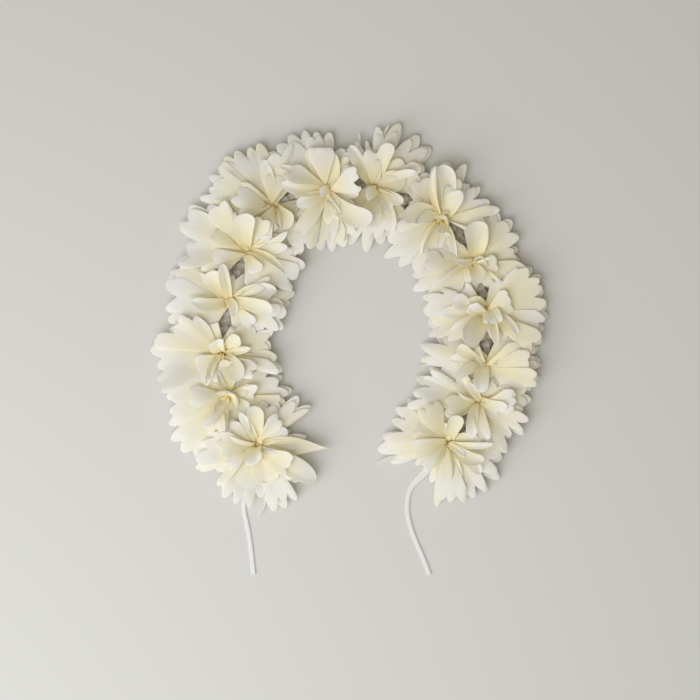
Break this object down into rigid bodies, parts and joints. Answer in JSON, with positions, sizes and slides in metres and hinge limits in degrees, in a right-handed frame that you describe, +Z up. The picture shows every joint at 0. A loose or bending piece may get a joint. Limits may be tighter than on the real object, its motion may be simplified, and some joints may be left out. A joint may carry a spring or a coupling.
{
  "type": "hair garland of cloth flowers",
  "caption": "Arch-shaped hair garland of layered cream cloth flowers set close along a grey tape-wound stem, open below for a hair bun, with a narrow ribbon tie at each end.",
  "frame": {"origin": "on the surface that the garland lies on, under the middle of the box round its stem and flowers", "axes": "+Z up out of the flowers' faces, +Y towards the crown of the arch, +X to the right when the flowers face the viewer"},
  "size_m": [0.178, 0.2038, 0.0264],
  "materials": {
    "petal_cloth": "matte stiffened petal cloth, ivory at the tips and warmer cream in the folds",
    "stem_tape": "crinkled grey tape wound round the core",
    "tie_ribbon": "narrow white satin ribbon"
  },
  "bodies": {
    "root": {"wound_stem": "stem_tape", "tie_left": "tie_ribbon", "tie_right": "tie_ribbon", "flower_01_outer": "petal_cloth", "flower_01_middle": "petal_cloth", "flower_01_inner": "petal_cloth", "flower_02_outer": "petal_cloth", "flower_02_middle": "petal_cloth", "flower_02_inner": "petal_cloth", "flower_03_outer": "petal_cloth", "flower_03_middle": "petal_cloth", "flower_03_inner": "petal_cloth", "flower_04_outer": "petal_cloth", "flower_04_middle": "petal_cloth", "flower_04_inner": "petal_cloth", "flower_05_outer": "petal_cloth", "flower_05_middle": "petal_cloth", "flower_05_inner": "petal_cloth", "flower_06_outer": "petal_cloth", "flower_06_middle": "petal_cloth", "flower_06_inner": "petal_cloth", "flower_07_outer": "petal_cloth", "flower_07_middle": "petal_cloth", "flower_07_inner": "petal_cloth", "flower_08_outer": "petal_cloth", "flower_08_middle": "petal_cloth", "flower_08_inner": "petal_cloth", "flower_09_outer": "petal_cloth", "flower_09_middle": "petal_cloth", "flower_09_inner": "petal_cloth", "flower_10_outer": "petal_cloth", "flower_10_middle": "petal_cloth", "flower_10_inner": "petal_cloth", "flower_11_outer": "petal_cloth", "flower_11_middle": "petal_cloth", "flower_11_inner": "petal_cloth", "flower_12_outer": "petal_cloth", "flower_12_middle": "petal_cloth", "flower_12_inner": "petal_cloth", "flower_13_outer": "petal_cloth", "flower_13_middle": "petal_cloth", "flower_13_inner": "petal_cloth", "flower_14_outer": "petal_cloth", "flower_14_middle": "petal_cloth", "flower_14_inner": "petal_cloth"}
  },
  "joints": []
}
